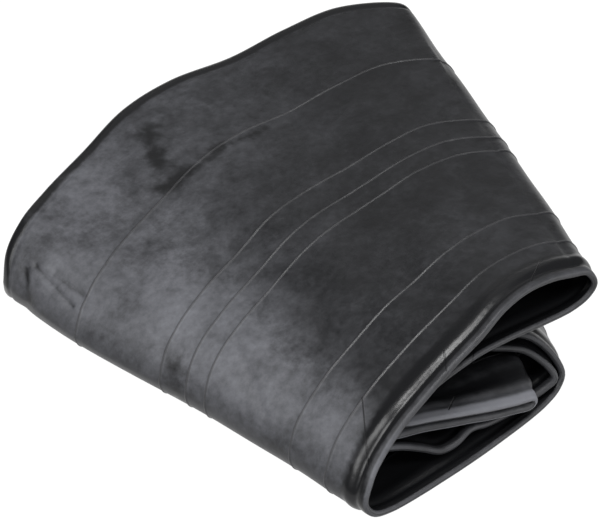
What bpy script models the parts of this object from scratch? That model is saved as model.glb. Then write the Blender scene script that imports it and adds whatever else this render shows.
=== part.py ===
"""Inner tube of a small trailer tyre, let down flat and rolled up into a pack, with its valve.

The hollow ring lies as a flat double belt. One edge of the belt, the shorter rim side, is the front of the
pack, and the longer crown side is the back. The belt is drawn out to a double strand, and the strand is
rolled in four, which gives eight layers. Lengths are in metres, +Z is up and the pack rests on the ground at
z = 0.
"""
import math

import bmesh
import bpy
import numpy as np
from mathutils import Vector

# Belt of the flat ring
WALL = 0.0015
AIR_FILM = 0.0004
EDGE_RADIUS = 0.0019
LAYER_GAP = 0.0010
REST_CUT = 0.0003
BELT = 2 * WALL + AIR_FILM
PITCH = BELT + LAYER_GAP

# Folded layers, 1 on top to 8 below. Places along the edges are shares of their length, and depths are
# shares of the pack's depth.
FRONT_LENGTH = 0.154
FRONT_RISE = 0.035
SET_BACK = 0.010
BACK_LENGTH = 0.264
DEPTH = 0.2645
# Front edge of each layer from left to right: place along it, share of the front rise above the flat stack,
# and how many set-backs it is drawn in
FRONT_EDGES = {
    1: [(0.039, -0.143, 0.10), (0.136, 0.249, 0.05), (0.253, 0.477, 0.10), (0.377, 0.706, 0.10),
        (0.494, 0.849, 0.15), (0.617, 0.977, 0.40), (0.727, 0.997, 0.50), (0.831, 0.934, 0.42),
        (0.916, 0.820, 0.28)],
    2: [(0.195, 0.330, 1.60), (0.260, 0.443, 0.80), (0.390, 0.586, 0.48), (0.519, 0.589, 0.50),
        (0.662, 0.514, 0.45), (0.792, 0.434, 0.33), (0.909, 0.406, 0.17)],
    3: [(0.200, 0.340, 1.60), (0.260, 0.425, 1.50), (0.340, 0.480, 1.80), (0.440, 0.500, 2.60),
        (0.530, 0.480, 3.40), (0.610, 0.420, 3.40), (0.675, 0.330, 2.40)],
    4: [(0.240, 0.400, 1.50), (0.300, 0.450, 1.50), (0.370, 0.475, 1.80), (0.440, 0.480, 2.40),
        (0.530, 0.450, 3.20), (0.604, 0.380, 3.20), (0.662, 0.290, 2.20)],
    5: [(0.240, 0.365, 1.10), (0.300, 0.360, 0.60), (0.370, 0.305, 0.20), (0.435, 0.240, -0.10),
        (0.494, 0.165, -0.30), (0.558, 0.090, -0.50), (0.604, 0.045, -0.65), (0.655, -0.005, -0.75)],
    6: [(0.200, 0.355, 1.30), (0.279, 0.360, 0.70), (0.364, 0.300, 0.20), (0.435, 0.230, -0.10),
        (0.494, 0.150, -0.30), (0.558, 0.080, -0.50), (0.604, 0.035, -0.65), (0.655, -0.020, -0.75)],
    7: [(0.175, 0.320, 1.50), (0.220, 0.280, 1.10), (0.273, 0.190, 0.60), (0.325, 0.077, 0.20),
        (0.377, 0.100, 0.0), (0.442, 0.175, 0.0), (0.519, 0.070, 0.0), (0.617, -0.010, 0.02),
        (0.688, -0.015, 0.04)],
    8: [(0.065, 0.0, -0.41), (0.299, 0.0, -0.65), (0.526, 0.0, -0.64), (0.753, 0.0, -0.37)],
}
LAYERS = len(FRONT_EDGES)
# Turns in the order of the path: upper or first layer, next layer, front tip as above, and back tip
TURNS = [
    (1, 8, (-0.032, -0.143, -0.18), -0.015),
    (8, 3, (0.857, -0.103, 0.06), 0.970),
    (3, 6, (0.156, 0.345, 1.70), 0.402),
    (6, 5, (0.674, -0.020, -0.78), 0.879),
    (5, 4, (0.221, 0.385, 1.40), 0.432),
    (4, 7, (0.808, -0.040, -0.20), 0.947),
    (7, 2, (0.118, 0.325, 1.90), 0.322),
    (2, 1, (0.997, 0.571, 0.01), 0.981),
]
# How far each layer's back edge stands above the flat stack, in layer gaps, so that tight turns have room
BACK_RISE = {1: 2.4, 2: 1.6, 3: 1.6, 4: 1.6, 5: 0.8, 6: 0.0, 7: 0.0, 8: 0.0}
# Back edge seen from above: place along it and depth
BACK_EDGE = [(-0.019, 0.877), (0.091, 0.932), (0.174, 0.949), (0.337, 0.983), (0.436, 1.000),
             (0.511, 0.998), (0.617, 0.972), (0.799, 0.936), (0.902, 0.909), (0.947, 0.879), (0.981, 0.845)]
# How far the big left turn swells out halfway between front and back
LEFT_SWELL = 0.0020
SWOLLEN_TURN = (1, 8)
# Where a turn's shoulder lies: share of the way along to the tip, and share of the height left above the tip
ROUND_SHOULDER = (math.sqrt(0.5), math.sqrt(0.5))
SLOPING_SHOULDER = (0.60, 0.55)
TURN_STEPS = 2
# Cross-section of the belt: rows across its width, and each rounded edge's rise and run for its radius
BELT_ROWS = (0.25, 0.5, 0.75)
EDGE_RISE = 0.866
EDGE_RUN = 3.0

# Valve
CLEARANCE = 0.0002
VALVE_PLACE = (0.150, 0.690)
PATCH_HALF_WIDTH = 0.018
PATCH_HALF_LENGTH = 0.024
PATCH_THICKNESS = 0.0012
FOOT_RADIUS = 0.0140
FOOT_HEIGHT = 0.0035
BEND_RADIUS = 0.0095
SLEEVE_RADIUS = 0.0080
SLEEVE_TIP_RADIUS = 0.0062
SLEEVE_LENGTH = 0.026
SLEEVE_TAPER_START = 0.008
FOOT_TOP_RADIUS = 0.0092
AIR_RADIUS = 0.0019
HOLE_RADIUS = 0.0030
SHANK_RADIUS = 0.0033
SHANK_LENGTH = 0.022
ANCHOR_RADIUS = 0.0044
ANCHOR_LENGTH = 0.002
COLLAR_RADIUS = 0.0046
COLLAR_LENGTH = 0.0010
THREAD_RADIUS = 0.003875
THREAD_DEPTH = 0.00045
THREAD_PITCH = 0.000794
THREAD_TURNS = 12
CORE_RADIUS = 0.00265
PLUG_LENGTH = 0.0040
PLUG_SUNK = 0.0006
PLUG_BORE = 0.00115
PLUG_SLOT = 0.0011
PLUG_SLOT_DEPTH = 0.0013
SEAT_LENGTH = 0.0018
BARREL_RADIUS = 0.0014
BARREL_BORE = 0.00095
BARREL_LENGTH = 0.0098
BARREL_FLANGE = 0.0005
PIN_RADIUS = 0.00045
PIN_HEAD_RADIUS = 0.0008
PIN_HEAD_LENGTH = 0.0006
PIN_COLLAR_RADIUS = 0.00085
PIN_COLLAR_LENGTH = 0.0005
SPRING_WIRE_RADIUS = 0.00013
SPRING_TURNS = 8
SEAL_THICKNESS = 0.0010
SEAL_PROUD = 0.0003
CUP_WALL = 0.00022
CUP_LENGTH = 0.0017
CAP_RADIUS = 0.0052
CAP_BORE_CLEARANCE = 0.00018
CAP_ROOF = 0.0017
CAP_SEAL_THICKNESS = 0.0008
CAP_CHAMFER = 0.0008
CAP_FLUTES = 16
FLUTE_RADIUS = 0.0005
FLUTE_SET_OUT = 0.0002

ROUND_STEPS = 24
SMALL_STEPS = 16
FLUTE_STEPS = 6
NECK_RESOLUTION = 6
NECK_BEND_STEPS = 8
BORE_RESOLUTION = 4
WIRE_RESOLUTION = 1
POINTS_A_COIL = 9
SHARP_ANGLE = math.radians(40)
CUT_OVERRUN = 0.002
HOLE_OVERRUN = 0.0005


def clear_scene():
    for obj in list(bpy.data.objects):
        bpy.data.objects.remove(obj, do_unlink=True)


def new_collection(name):
    collection = bpy.data.collections.new(name)
    bpy.context.scene.collection.children.link(collection)
    return collection


def make_material(name, colour, roughness, metallic=0.0):
    material = bpy.data.materials.new(name)
    material.use_nodes = True
    shader = material.node_tree.nodes["Principled BSDF"]
    shader.inputs["Base Color"].default_value = (*colour, 1.0)
    shader.inputs["Roughness"].default_value = roughness
    shader.inputs["Metallic"].default_value = metallic
    return material


def add_object(name, mesh, collection, material=None, parent=None):
    obj = bpy.data.objects.new(name, mesh)
    collection.objects.link(obj)
    if material:
        mesh.materials.append(material)
    obj.parent = parent
    return obj


def add_cutter(name, mesh, parent=None):
    cutter = add_object(name, mesh, CUTTERS, parent=parent)
    cutter.hide_render = True
    cutter.display_type = "WIRE"
    return cutter


def cut(obj, cutter, operation="DIFFERENCE"):
    modifier = obj.modifiers.new(cutter.name, "BOOLEAN")
    modifier.operation = operation
    modifier.object = cutter


def bmesh_to_mesh(name, shape):
    bmesh.ops.recalc_face_normals(shape, faces=shape.faces)
    mesh = bpy.data.meshes.new(name)
    shape.to_mesh(mesh)
    shape.free()
    mesh.shade_smooth()
    mesh.set_sharp_from_angle(angle=SHARP_ANGLE)
    return mesh


def box_mesh(name, low, high):
    shape = bmesh.new()
    bmesh.ops.create_cube(shape, size=1.0)
    low = Vector(low)
    high = Vector(high)
    for vert in shape.verts:
        vert.co = (low + high) / 2 + Vector(c * s for c, s in zip(vert.co, high - low))
    return bmesh_to_mesh(name, shape)


def cylinder_mesh(name, radius, low, high, top_radius=None, steps=ROUND_STEPS):
    shape = bmesh.new()
    bmesh.ops.create_cone(shape, cap_ends=True, segments=steps, radius1=radius,
                          radius2=radius if top_radius is None else top_radius, depth=high - low)
    bmesh.ops.translate(shape, verts=shape.verts, vec=(0, 0, (low + high) / 2))
    return bmesh_to_mesh(name, shape)


def turned(name, profile, material, parent, steps=ROUND_STEPS, closed=True):
    """A solid of revolution. Its (radius, height) points run down the outer side and up the bore."""
    mesh = bpy.data.meshes.new(name)
    count = len(profile)
    edges = [(i, (i + 1) % count) for i in range(count if closed else count - 1)]
    mesh.from_pydata([(radius, 0.0, height) for radius, height in profile], edges, [])
    obj = add_object(name, mesh, PARTS, material, parent)
    screw = obj.modifiers.new("turn", "SCREW")
    screw.steps = steps
    screw.render_steps = steps
    screw.use_smooth_shade = True
    screw.use_merge_vertices = True
    screw.merge_threshold = 0.000001
    return obj


def tube_from_points(name, points, radii, resolution):
    """A round bar along the points, its radius set at each point, as a closed mesh."""
    curve = bpy.data.curves.new(name, "CURVE")
    curve.dimensions = "3D"
    curve.bevel_depth = 1.0
    curve.bevel_resolution = resolution
    curve.use_fill_caps = True
    spline = curve.splines.new("POLY")
    spline.points.add(len(points) - 1)
    for target, point, radius in zip(spline.points, points, radii):
        target.co = (*point, 1.0)
        target.radius = radius
    obj = bpy.data.objects.new(name, curve)
    CUTTERS.objects.link(obj)
    bpy.context.view_layer.update()
    mesh = bpy.data.meshes.new_from_object(obj.evaluated_get(bpy.context.evaluated_depsgraph_get()))
    bpy.data.objects.remove(obj, do_unlink=True)
    shape = bmesh.new()
    shape.from_mesh(mesh)
    bmesh.ops.remove_doubles(shape, verts=shape.verts, dist=0.000001)
    bpy.data.meshes.remove(mesh)
    return bmesh_to_mesh(name, shape)


# Fold path

def middle_share(along):
    """Nothing at both ends of a length and one in its middle."""
    return 4 * along * (1 - along)


def stack_height(layer):
    return BELT / 2 - REST_CUT + (LAYERS - layer) * PITCH


def back_height(layer):
    return stack_height(layer) + BACK_RISE[layer] * LAYER_GAP


def front_point(layers, along, rise, set_back):
    """A point of the front edge, taken between the layers that it belongs to."""
    height = sum(stack_height(layer) for layer in layers) / len(layers) + rise * FRONT_RISE
    return Vector((along * FRONT_LENGTH, set_back * SET_BACK, height))


def back_point(layers, along):
    height = sum(back_height(layer) for layer in layers) / len(layers)
    return Vector((along * BACK_LENGTH, DEPTH * np.interp(along, *zip(*BACK_EDGE)), height))


def back_ends(layer):
    """Where a layer's flat run starts and ends on the back edge, next to its two turns."""
    ends = []
    for first, second, _, tip in TURNS:
        if layer in (first, second):
            half_turn = abs(back_height(first) - back_height(second)) / 2
            ends.append((tip, half_turn / BACK_LENGTH))
    (left_tip, left_reach), (right_tip, right_reach) = sorted(ends)
    return left_tip + left_reach, right_tip - right_reach


def layer_points(layer):
    """Front and back points of a layer's run, from left to right."""
    edge = FRONT_EDGES[layer]
    start, end = back_ends(layer)
    first, last = edge[0][0], edge[-1][0]
    points = []
    for along, rise, set_back in edge:
        share = (along - first) / (last - first)
        front = front_point([layer], along, rise, set_back)
        points.append((front, back_point([layer], start + share * (end - start))))
    return points


def turn_points(turn, before, after):
    """Shoulder, tip and shoulder of a turn between two runs, close to half an ellipse."""
    first, second, front_tip, back_tip = turn
    tip = (front_point([first, second], *front_tip), back_point([first, second], back_tip))
    slope = SLOPING_SHOULDER if (first, second) == SWOLLEN_TURN else ROUND_SHOULDER

    def shoulder(end, front_shares):
        points = []
        for edge_end, edge_tip, (way, height) in zip(end, tip, (front_shares, ROUND_SHOULDER)):
            points.append(Vector((
                edge_end.x + way * (edge_tip.x - edge_end.x),
                (edge_end.y + edge_tip.y) / 2,
                edge_tip.z + height * (edge_end.z - edge_tip.z),
            )))
        return tuple(points)

    return [shoulder(before, slope), tip, shoulder(after, ROUND_SHOULDER)]


def smooth_loop(points, steps):
    """A closed centripetal spline through the points, with its own number of steps after each point."""
    count = len(points)
    result = []
    for i in range(count):
        p0, p1, p2, p3 = (points[(i + k) % count] for k in (-1, 0, 1, 2))
        t1 = np.linalg.norm(p1 - p0) ** 0.5
        t2 = t1 + np.linalg.norm(p2 - p1) ** 0.5
        t3 = t2 + np.linalg.norm(p3 - p2) ** 0.5
        for step in range(steps[i]):
            t = t1 + (t2 - t1) * step / steps[i]
            a1 = p0 + (p1 - p0) * t / t1
            a2 = p1 + (p2 - p1) * (t - t1) / (t2 - t1)
            a3 = p2 + (p3 - p2) * (t - t2) / (t3 - t2)
            b1 = a1 + (a2 - a1) * t / t2
            b2 = a2 + (a3 - a2) * (t - t1) / (t3 - t1)
            result.append(b1 + (b2 - b1) * (t - t1) / (t2 - t1))
    return np.array(result)


def fold_path():
    """Points of the whole closed strand, one row each: front edge x, y, z, back edge x, y, z and swelling."""
    runs = []
    for i, turn in enumerate(TURNS):
        run = layer_points(turn[0])
        leftward = i % 2 == 0
        runs.append(run[::-1] if leftward else run)
    points = []
    steps = []
    swelling = []
    for i, turn in enumerate(TURNS):
        run = runs[i]
        swell = LEFT_SWELL if turn[:2] == SWOLLEN_TURN else 0.0
        bend = turn_points(turn, run[-1], runs[(i + 1) % len(TURNS)][0])
        points += run + bend
        steps += [1] * (len(run) - 1) + [TURN_STEPS] * (len(bend) + 1)
        swelling += [0.0] * len(run) + [swell / 2, swell, swell / 2]
    front_edge, back_edge = (np.array([pair[side] for pair in points]) for side in (0, 1))
    places = np.cumsum([0] + steps[:-1])
    swelling = np.interp(np.arange(sum(steps)), places, swelling)
    return np.column_stack([smooth_loop(front_edge, steps), smooth_loop(back_edge, steps), swelling])


def belt_section(half, edge, inset):
    """Outline of the flat belt as (place across the width, distance from the edge, height)."""
    rise = EDGE_RISE * edge
    flat_start = inset + EDGE_RUN * edge
    upper = [("front", inset + edge / 2, rise), ("front", flat_start, half)]
    upper += [("share", share, half) for share in BELT_ROWS]
    upper += [("back", flat_start, half), ("back", inset + edge / 2, rise)]
    lower = [(place, distance, -height) for place, distance, height in reversed(upper)]
    return [("front", inset, 0.0)] + upper + [("back", inset, 0.0)] + lower


def ring_mesh(name, path, half, edge, inset):
    """The moulded ring as a torus whose points are moved to the flat, folded belt."""
    section = belt_section(half, edge, inset)
    around = len(path)
    across = len(section)
    ring_radius = 1.0
    bpy.ops.mesh.primitive_torus_add(major_radius=ring_radius, minor_radius=ring_radius / 2,
                                     major_segments=around, minor_segments=across)
    torus = bpy.context.object
    mesh = torus.data
    bpy.data.objects.remove(torus, do_unlink=True)
    places = {}
    front, back, swelling = path[:, :3], path[:, 3:6], path[:, 6]
    width = np.linalg.norm(back - front, axis=1)
    for vert in mesh.vertices:
        x, y, z = vert.co
        turn = math.atan2(y, x) / (2 * math.pi)
        side = math.atan2(z, math.hypot(x, y) - ring_radius) / (2 * math.pi)
        i = round(turn * around) % around
        place, distance, height = section[round(side * across) % across]
        share = {"front": distance / width[i], "back": 1 - distance / width[i], "share": distance}[place]
        line = front + share * (back - front)
        line[:, 0] -= swelling * middle_share(share)
        along = line[(i + 1) % around] - line[i - 1]
        normal = np.cross(along, back[i] - front[i])
        vert.co = Vector(line[i] + height * normal / np.linalg.norm(normal))
        places[vert.index] = (i, share)
    shape = bmesh.new()
    shape.from_mesh(mesh)
    bpy.data.meshes.remove(mesh)
    split_alike(shape, places, around)
    return bmesh_to_mesh(name, shape)


def split_alike(shape, places, around):
    """Splits the twisted quads along one diagonal on all four skins of the belt, so that they stay apart."""
    for face in list(shape.faces):
        steps = {places[vert.index][0] for vert in face.verts}
        first = around - 1 if steps == {0, around - 1} else min(steps)
        start = min((vert for vert in face.verts if places[vert.index][0] == first),
                    key=lambda vert: places[vert.index][1])
        corners = list(face.verts)
        bmesh.utils.face_split(face, start, corners[corners.index(start) - 2])


# Pieces

def make_tube(path, hole_place):
    outer = ring_mesh("tube", path, BELT / 2, EDGE_RADIUS, 0.0)
    tube = add_object("tube", outer, PARTS, RUBBER)
    air = ring_mesh("air_space", path, BELT / 2 - WALL, EDGE_RADIUS - WALL, WALL)
    cut(tube, add_cutter("air_space", air))
    hole = cylinder_mesh("valve_hole", HOLE_RADIUS, -WALL - AIR_FILM / 2, HOLE_OVERRUN, steps=SMALL_STEPS)
    hole_cutter = add_cutter("valve_hole", hole)
    hole_cutter.location = hole_place
    cut(tube, hole_cutter)
    low = path.min(axis=0)
    high = path.max(axis=0)
    margin = FRONT_LENGTH
    ground = box_mesh("ground", (min(low[0], low[3]) - margin, low[1] - margin, -margin),
                      (max(high[0], high[3]) + margin, high[4] + margin, 0.0))
    cut(tube, add_cutter("ground", ground))
    return tube


def make_patch(wall_top):
    mesh = cylinder_mesh("valve_patch", 1.0, 0.0, PATCH_THICKNESS, steps=2 * ROUND_STEPS)
    for vert in mesh.vertices:
        vert.co.x *= PATCH_HALF_WIDTH
        vert.co.y *= PATCH_HALF_LENGTH
    patch = add_object("valve_patch", mesh, PARTS, RUBBER)
    patch.location = wall_top + Vector((0, 0, CLEARANCE))
    hole = cylinder_mesh("patch_hole", HOLE_RADIUS, -CUT_OVERRUN, PATCH_THICKNESS + CUT_OVERRUN,
                         steps=SMALL_STEPS)
    cut(patch, add_cutter("patch_hole", hole, patch))


def neck_points(foot_bottom, start):
    """Centre line of the neck: up from the foot, then over backwards to the sleeve's start."""
    centre = foot_bottom + Vector((0, BEND_RADIUS, FOOT_HEIGHT))
    points = [foot_bottom + Vector((0, 0, start)), foot_bottom + Vector((0, 0, FOOT_HEIGHT / 2))]
    for i in range(NECK_BEND_STEPS + 1):
        angle = math.pi / 2 * i / NECK_BEND_STEPS
        points.append(centre + BEND_RADIUS * Vector((0, -math.cos(angle), math.sin(angle))))
    return points


def make_valve_body(foot_bottom, axis):
    points = neck_points(foot_bottom, CLEARANCE)
    radii = [SLEEVE_RADIUS] * len(points)
    straight = points[-1]
    for distance, radius in ((SLEEVE_TAPER_START, SLEEVE_RADIUS), (SLEEVE_LENGTH, SLEEVE_TIP_RADIUS)):
        points.append(straight + Vector((0, distance, 0)))
        radii.append(radius)
    mesh = tube_from_points("valve_body", points, radii, NECK_RESOLUTION)
    body = add_object("valve_body", mesh, PARTS, RUBBER)
    foot = cylinder_mesh("valve_foot", FOOT_RADIUS, 0.0, FOOT_HEIGHT, FOOT_TOP_RADIUS)
    foot_cutter = add_cutter("valve_foot", foot)
    foot_cutter.location = foot_bottom
    cut(body, foot_cutter, "UNION")

    way = neck_points(foot_bottom, -CUT_OVERRUN)
    way.append(way[-1] + Vector((0, SLEEVE_LENGTH - SHANK_LENGTH + CUT_OVERRUN, 0)))
    passage = tube_from_points("air_passage", way, [AIR_RADIUS] * len(way), BORE_RESOLUTION)
    cut(body, add_cutter("air_passage", passage))
    bore = cylinder_mesh("sleeve_bore", SHANK_RADIUS + CLEARANCE, -SHANK_LENGTH - CLEARANCE, CUT_OVERRUN)
    cut(body, add_cutter("sleeve_bore", bore, axis))
    anchor = cylinder_mesh("anchor_groove", ANCHOR_RADIUS + CLEARANCE, -SHANK_LENGTH - CLEARANCE,
                           -SHANK_LENGTH + ANCHOR_LENGTH + CLEARANCE)
    cut(body, add_cutter("anchor_groove", anchor, axis))


def make_insert(axis):
    thread_start = CLEARANCE + COLLAR_LENGTH
    profile = []
    for i in range(THREAD_TURNS, 0, -1):
        root = thread_start + i * THREAD_PITCH
        profile.append((THREAD_RADIUS - THREAD_DEPTH, root))
        profile.append((THREAD_RADIUS, root - THREAD_PITCH / 2))
    profile += [
        (THREAD_RADIUS - THREAD_DEPTH, thread_start), (COLLAR_RADIUS, thread_start),
        (COLLAR_RADIUS, CLEARANCE), (SHANK_RADIUS, CLEARANCE),
        (SHANK_RADIUS, -SHANK_LENGTH + ANCHOR_LENGTH), (ANCHOR_RADIUS, -SHANK_LENGTH + ANCHOR_LENGTH),
        (ANCHOR_RADIUS, -SHANK_LENGTH), (AIR_RADIUS, -SHANK_LENGTH),
        (AIR_RADIUS, SEAT_TOP - SEAT_LENGTH), (CORE_RADIUS, SEAT_TOP), (CORE_RADIUS, STEM_TOP),
    ]
    turned("stem_insert", profile, BRASS, axis)


def make_core(axis):
    plug_top = STEM_TOP - PLUG_SUNK
    plug_bottom = plug_top - PLUG_LENGTH
    plug_radius = CORE_RADIUS - CLEARANCE
    plug = turned("core_plug", [
        (plug_radius, plug_top), (plug_radius, plug_bottom), (PLUG_BORE, plug_bottom), (PLUG_BORE, plug_top),
    ], BRASS, axis, SMALL_STEPS)
    slot = box_mesh("plug_slot", (-PLUG_SLOT / 2, -CORE_RADIUS, plug_top - PLUG_SLOT_DEPTH),
                    (PLUG_SLOT / 2, CORE_RADIUS, plug_top + CUT_OVERRUN))
    cut(plug, add_cutter("plug_slot", slot, axis))

    flange_top = plug_bottom - CLEARANCE
    flange_bottom = flange_top - BARREL_FLANGE
    barrel_bottom = flange_top - BARREL_LENGTH
    shoulder = BARREL_FLANGE + barrel_bottom
    turned("core_barrel", [
        (plug_radius - CLEARANCE, flange_top), (plug_radius - CLEARANCE, flange_bottom),
        (BARREL_RADIUS, flange_bottom), (BARREL_RADIUS, barrel_bottom),
        (PIN_RADIUS + CLEARANCE, barrel_bottom), (PIN_RADIUS + CLEARANCE, shoulder),
        (BARREL_BORE, shoulder), (BARREL_BORE, flange_top),
    ], BRASS, axis, SMALL_STEPS)

    gasket_top = flange_bottom - CLEARANCE / 2
    gasket_bottom = SEAT_TOP - SEAT_LENGTH + CLEARANCE
    slope = (CORE_RADIUS - AIR_RADIUS) / SEAT_LENGTH
    gasket_inner = BARREL_RADIUS + CLEARANCE / 2
    turned("core_gasket", [
        (plug_radius - CLEARANCE, gasket_top), (plug_radius - CLEARANCE, SEAT_TOP),
        (AIR_RADIUS + slope * CLEARANCE - CLEARANCE, gasket_bottom),
        (gasket_inner, gasket_bottom), (gasket_inner, gasket_top),
    ], GASKET_RED, axis, SMALL_STEPS)

    collar_top = flange_top - CLEARANCE
    collar_bottom = collar_top - PIN_COLLAR_LENGTH
    pin_bottom = barrel_bottom - CLEARANCE - CUP_LENGTH
    turned("core_pin", [
        (0.0, STEM_TOP - CLEARANCE), (PIN_HEAD_RADIUS, STEM_TOP - CLEARANCE),
        (PIN_HEAD_RADIUS, STEM_TOP - CLEARANCE - PIN_HEAD_LENGTH),
        (PIN_RADIUS, STEM_TOP - CLEARANCE - PIN_HEAD_LENGTH), (PIN_RADIUS, collar_top),
        (PIN_COLLAR_RADIUS, collar_top), (PIN_COLLAR_RADIUS, collar_bottom),
        (PIN_RADIUS, collar_bottom), (PIN_RADIUS, pin_bottom), (0.0, pin_bottom),
    ], STEEL, axis, SMALL_STEPS, closed=False)

    cup_top = barrel_bottom - CLEARANCE - SEAL_PROUD
    cup_floor = barrel_bottom - 2 * CLEARANCE - SEAL_THICKNESS
    seal_radius = BARREL_RADIUS - CUP_WALL
    turned("core_seal", [
        (seal_radius, barrel_bottom - CLEARANCE), (seal_radius, cup_floor + CLEARANCE),
        (PIN_RADIUS + CLEARANCE / 2, cup_floor + CLEARANCE),
        (PIN_RADIUS + CLEARANCE / 2, barrel_bottom - CLEARANCE),
    ], SEAL_RUBBER, axis, SMALL_STEPS)
    cup_inner = seal_radius + CLEARANCE / 2
    turned("core_cup", [
        (cup_inner + CUP_WALL, cup_top), (cup_inner + CUP_WALL, pin_bottom),
        (PIN_RADIUS + CLEARANCE / 2, pin_bottom), (PIN_RADIUS + CLEARANCE / 2, cup_floor),
        (cup_inner, cup_floor), (cup_inner, cup_top),
    ], BRASS, axis, SMALL_STEPS)

    spring_low = shoulder + CLEARANCE / 2 + SPRING_WIRE_RADIUS
    spring_high = collar_bottom - CLEARANCE / 2 - SPRING_WIRE_RADIUS
    middle = (PIN_RADIUS + BARREL_BORE) / 2
    count = SPRING_TURNS * POINTS_A_COIL
    coil = []
    for i in range(count + 1):
        angle = 2 * math.pi * i / POINTS_A_COIL
        height = spring_low + (spring_high - spring_low) * i / count
        coil.append(Vector((middle * math.cos(angle), middle * math.sin(angle), height)))
    spring = tube_from_points("core_spring", coil, [SPRING_WIRE_RADIUS] * len(coil), WIRE_RESOLUTION)
    add_object("core_spring", spring, PARTS, STEEL, axis)


def make_cap(axis):
    seal_bottom = STEM_TOP + CLEARANCE
    seal_top = seal_bottom + CAP_SEAL_THICKNESS
    roof = seal_top + CLEARANCE
    skirt = CLEARANCE * 2 + COLLAR_LENGTH
    bore = THREAD_RADIUS + CAP_BORE_CLEARANCE
    top = roof + CAP_ROOF
    cap = turned("cap_shell", [
        (0.0, top), (CAP_RADIUS - CAP_CHAMFER, top), (CAP_RADIUS, top - CAP_CHAMFER), (CAP_RADIUS, skirt),
        (bore, skirt), (bore, roof), (0.0, roof),
    ], CAP_PLASTIC, axis, 2 * SMALL_STEPS, closed=False)
    for i in range(CAP_FLUTES):
        angle = 2 * math.pi * i / CAP_FLUTES
        flute = cylinder_mesh(f"cap_flute_{i + 1}", FLUTE_RADIUS, skirt + CAP_ROOF, top + CUT_OVERRUN,
                              steps=FLUTE_STEPS)
        cutter = add_cutter(f"cap_flute_{i + 1}", flute, axis)
        reach = CAP_RADIUS + FLUTE_SET_OUT
        cutter.location = (reach * math.cos(angle), reach * math.sin(angle), 0.0)
        cut(cap, cutter)
    turned("cap_seal", [
        (0.0, seal_top), (bore - CLEARANCE, seal_top), (bore - CLEARANCE, seal_bottom), (0.0, seal_bottom),
    ], SEAL_RUBBER, axis, SMALL_STEPS, closed=False)


STEM_TOP = CLEARANCE + COLLAR_LENGTH + THREAD_TURNS * THREAD_PITCH
SEAT_TOP = STEM_TOP - PLUG_SUNK - PLUG_LENGTH - CLEARANCE - BARREL_FLANGE - CLEARANCE

clear_scene()
PARTS = new_collection("inner_tube")
CUTTERS = new_collection("cutters")
RUBBER = make_material("butyl_rubber", (0.030, 0.031, 0.034), 0.5)
SEAL_RUBBER = make_material("seal_rubber", (0.020, 0.020, 0.022), 0.6)
GASKET_RED = make_material("gasket_red", (0.45, 0.05, 0.04), 0.5)
BRASS = make_material("brass", (0.70, 0.52, 0.24), 0.3, 1.0)
STEEL = make_material("steel", (0.60, 0.60, 0.60), 0.3, 1.0)
CAP_PLASTIC = make_material("cap_plastic", (0.015, 0.015, 0.016), 0.4)

PATH = fold_path()
PATH_LOW = np.minimum(PATH.min(axis=0)[:3], PATH.min(axis=0)[3:6]) - np.array([LEFT_SWELL, 0.0, 0.0])
PATH_HIGH = np.maximum(PATH.max(axis=0)[:3], PATH.max(axis=0)[3:6])
SHIFT = Vector((*((PATH_LOW + PATH_HIGH) / 2)[:2], 0.0))
PATH[:, :6] -= np.array([*SHIFT, *SHIFT])

WALL_TOP = Vector((VALVE_PLACE[0] * BACK_LENGTH, VALVE_PLACE[1] * DEPTH, BELT - REST_CUT)) - SHIFT
FOOT_BOTTOM = WALL_TOP + Vector((0, 0, 2 * CLEARANCE + PATCH_THICKNESS))
AXIS = bpy.data.objects.new("valve_axis", None)
PARTS.objects.link(AXIS)
AXIS.location = FOOT_BOTTOM + Vector((0, BEND_RADIUS + SLEEVE_LENGTH, FOOT_HEIGHT + BEND_RADIUS))
AXIS.rotation_euler = (-math.pi / 2, 0, 0)

make_tube(PATH, WALL_TOP)
make_patch(WALL_TOP)
make_valve_body(FOOT_BOTTOM, AXIS)
make_insert(AXIS)
make_core(AXIS)
make_cap(AXIS)
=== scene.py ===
"""Looks of a let-down inner tube that is folded into a pack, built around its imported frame.

The tube follows the same fold as the solid: a front edge and a back edge are drawn as closed curves through
the eight layers, and the flat belt is ruled between them. Lengths are in metres, +Z is up.
"""
import math

import bmesh
import bpy
import numpy as np
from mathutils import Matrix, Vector


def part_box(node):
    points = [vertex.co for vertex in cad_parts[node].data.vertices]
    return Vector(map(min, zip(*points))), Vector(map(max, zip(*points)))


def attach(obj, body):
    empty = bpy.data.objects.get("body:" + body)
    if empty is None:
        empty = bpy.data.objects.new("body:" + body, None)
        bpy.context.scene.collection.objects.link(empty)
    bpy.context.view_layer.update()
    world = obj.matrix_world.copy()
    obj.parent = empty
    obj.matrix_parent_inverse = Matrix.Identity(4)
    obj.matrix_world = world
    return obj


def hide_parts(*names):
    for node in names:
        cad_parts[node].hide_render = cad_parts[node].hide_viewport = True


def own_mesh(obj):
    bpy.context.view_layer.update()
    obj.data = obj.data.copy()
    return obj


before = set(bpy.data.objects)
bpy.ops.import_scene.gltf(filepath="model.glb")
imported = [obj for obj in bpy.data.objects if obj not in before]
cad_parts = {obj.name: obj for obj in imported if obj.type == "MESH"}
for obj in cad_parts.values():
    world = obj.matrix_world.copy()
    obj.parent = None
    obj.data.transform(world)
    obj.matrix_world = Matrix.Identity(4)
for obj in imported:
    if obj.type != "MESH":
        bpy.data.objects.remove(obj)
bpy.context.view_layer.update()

# Belt of the flat ring
BELT = 0.0034
EDGE_RADIUS = 0.0019
LAYER_GAP = 0.0010
PITCH = BELT + LAYER_GAP
REST_CUT = 0.0003

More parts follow.
